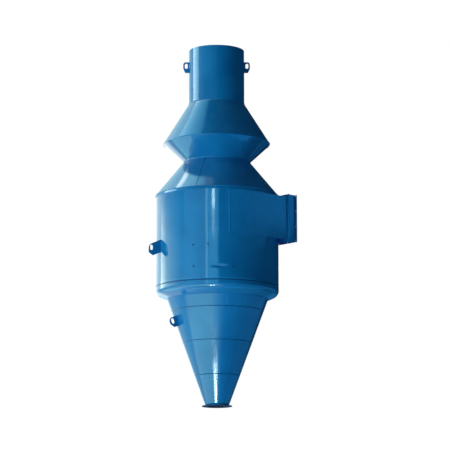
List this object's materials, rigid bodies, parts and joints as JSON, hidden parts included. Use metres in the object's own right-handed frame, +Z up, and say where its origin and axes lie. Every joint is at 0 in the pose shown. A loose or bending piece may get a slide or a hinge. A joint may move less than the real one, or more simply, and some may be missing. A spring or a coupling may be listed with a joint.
{
  "type": "cyclone separator",
  "caption": "Welded steel dust cyclone: tangential inlet duct, round barrel, long bottom cone with flanged dust outlet, conical roof, double-cone expander and clean-gas pipe on top.",
  "frame": {"origin": "centre of the dust flange's underside, where the cyclone is bolted down", "axes": "+Z up along the vessel's axis, +X along the inlet duct, out of its mouth"},
  "size_m": [1.7402, 1.6402, 4.685],
  "materials": {
    "shell_paint": "glossy blue enamel on rolled plate",
    "rim_paint": "glossy blue enamel on folded channel",
    "flange_paint": "darker blue enamel on flat bar",
    "lug_paint": "blue enamel on flame-cut plate",
    "inner_steel": "bare mill steel, dust-darkened"
  },
  "bodies": {
    "root": {"cone_tip_course": "shell_paint", "cone_lower_course": "shell_paint", "cone_middle_course": "shell_paint", "cone_upper_course": "shell_paint", "knuckle_ring": "shell_paint", "barrel": "shell_paint", "roof_cone": "shell_paint", "expander_lower_cone": "shell_paint", "expander_upper_cone": "shell_paint", "outlet_pipe": "shell_paint", "inlet_wrapper": "shell_paint", "inlet_outer_wall": "shell_paint", "inlet_inner_wall": "shell_paint", "inlet_roof": "shell_paint", "inlet_floor": "shell_paint", "inlet_rim_outer": "rim_paint", "inlet_rim_top": "rim_paint", "inlet_rim_bottom": "rim_paint", "inlet_rim_inner": "rim_paint", "dust_flange": "flange_paint", "pipe_lug_left": "lug_paint", "pipe_lug_right": "lug_paint", "barrel_lug": "lug_paint", "cone_lug": "lug_paint", "vortex_finder": "inner_steel"}
  },
  "joints": []
}
